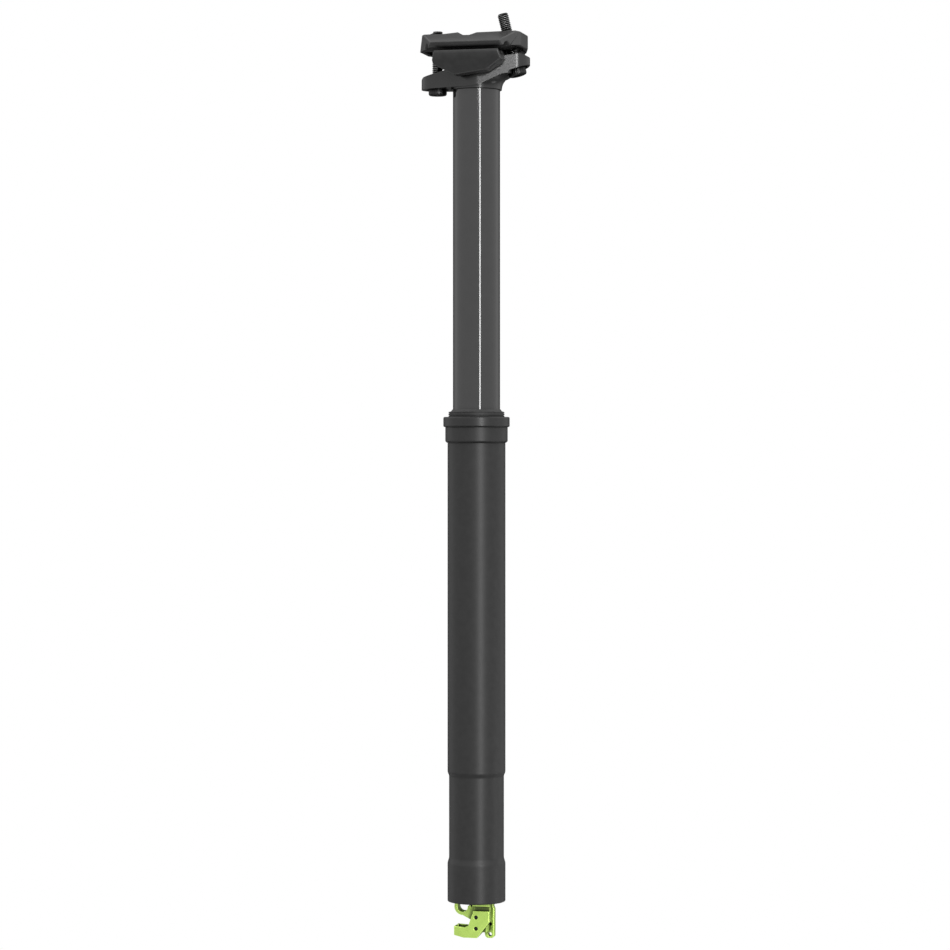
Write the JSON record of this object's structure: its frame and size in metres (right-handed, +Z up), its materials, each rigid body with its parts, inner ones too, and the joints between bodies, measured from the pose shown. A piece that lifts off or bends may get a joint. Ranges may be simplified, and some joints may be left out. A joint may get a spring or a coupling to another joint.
{
  "type": "dropper seatpost",
  "caption": "Telescopic seatpost whose inner tube drops on a cable release, with a two-bolt tilting clamp for saddle rails on top and a hooked release lever at its foot.",
  "frame": {"origin": "on the outer tube's axis at the underside of the collar, where the post stops in the seat tube", "axes": "+Z up along the post towards the saddle, +X to the bicycle's rear, -Y to its left side"},
  "size_m": [0.0605, 0.059, 0.505],
  "materials": {
    "tube_black": "black anodised, satin",
    "stanchion_black": "hard anodised, glossy",
    "head_black": "black anodised, polished",
    "clamp_black": "black anodised, satin",
    "nut_black": "black anodised, satin",
    "seal_rubber": "moulded",
    "bushing_plastic": "moulded",
    "inner_aluminium": "turned",
    "rod_steel": "ground",
    "pin_steel": "plain",
    "nut_steel": "blackened",
    "bolt_steel": "blackened",
    "key_brass": "plain",
    "lime_anodised": "lime anodised, satin"
  },
  "bodies": {
    "post": {"outer_tube": "tube_black", "collar": "tube_black", "collar_nut": "nut_black", "wiper_seal": "seal_rubber", "upper_bushing": "bushing_plastic", "bottom_bumper": "seal_rubber", "base_plug": "inner_aluminium", "rod_nut": "bolt_steel", "piston_rod": "rod_steel", "rod_piston": "inner_aluminium", "rod_piston_seal": "seal_rubber", "actuator_bracket": "lime_anodised", "lever_pivot_pin": "pin_steel", "stop_pin": "pin_steel", "return_spring": "pin_steel"},
    "slider": {"stanchion": "stanchion_black", "lower_bushing": "bushing_plastic", "anti_rotation_keys": "key_brass", "cartridge_cylinder": "inner_aluminium", "rod_gland": "inner_aluminium", "cartridge_end_cap": "inner_aluminium", "cartridge_circlip": "pin_steel", "saddle_head": "head_black"},
    "saddle_clamp": {"rail_cradle": "clamp_black", "top_clamp": "clamp_black"},
    "front_nut": {"front_barrel_nut": "nut_steel"},
    "rear_nut": {"rear_barrel_nut": "nut_steel"},
    "front_bolt": {"front_clamp_bolt": "bolt_steel", "front_bolt_washer": "bolt_steel"},
    "rear_bolt": {"rear_clamp_bolt": "bolt_steel", "rear_bolt_washer": "bolt_steel"},
    "lever": {"release_lever": "lime_anodised"},
    "release": {"release_pin": "rod_steel"},
    "separator": {"floating_piston": "inner_aluminium", "floating_piston_seal": "seal_rubber"}
  },
  "joints": [
    {"name": "drop", "type": "slide", "parent": "post", "child": "slider", "axis": [0, 0, -1], "range_m": [0, 0.17]},
    {"name": "clamp_tilt", "type": "hinge", "parent": "slider", "child": "saddle_clamp", "pos_m": [-0.002, 0, 0.2216], "axis": [0, -1, 0], "range_deg": [-4, 10]},
    {"name": "front_nut_turn", "type": "hinge", "parent": "saddle_clamp", "child": "front_nut", "pos_m": [-0.0219, 0, 0.218], "axis": [0, -1, 0], "range_deg": [-15, 15]},
    {"name": "rear_nut_turn", "type": "hinge", "parent": "saddle_clamp", "child": "rear_nut", "pos_m": [0.01855, 0, 0.2184], "axis": [0, -1, 0], "range_deg": [-15, 15]},
    {"name": "front_bolt_rock", "type": "hinge", "parent": "slider", "child": "front_bolt", "pos_m": [-0.0219, 0, 0.1882], "axis": [0, -1, 0], "range_deg": [-4, 4]},
    {"name": "rear_bolt_rock", "type": "hinge", "parent": "slider", "child": "rear_bolt", "pos_m": [0.02385, 0, 0.19789], "axis": [0, -1, 0], "range_deg": [-6, 6]},
    {"name": "lever_pull", "type": "hinge", "parent": "post", "child": "lever", "pos_m": [0.0015, 0, -0.258], "axis": [0, -1, 0], "range_deg": [0, 20], "stiffness_Nm_per_rad": 0.05, "springref_deg": -11.46},
    {"name": "pin_lift", "type": "slide", "parent": "post", "child": "release", "axis": [0, 0, 1], "range_m": [0, 0.002], "deforming": ["return_spring"]},
    {"name": "separator_slide", "type": "slide", "parent": "slider", "child": "separator", "axis": [0, 0, 1], "range_m": [0, 0.0526]}
  ],
  "couplings": [
    {"joint": "front_bolt_rock", "follows": "clamp_tilt", "ratio": -0.17567},
    {"joint": "rear_bolt_rock", "follows": "clamp_tilt", "ratio": -0.30164},
    {"joint": "front_nut_turn", "follows": "clamp_tilt", "ratio": -1.1757},
    {"joint": "rear_nut_turn", "follows": "clamp_tilt", "ratio": -1.3016},
    {"joint": "lever_pull", "follows": "pin_lift", "rad_per_m": 174.5},
    {"joint": "separator_slide", "follows": "drop", "ratio": 0.30864}
  ]
}
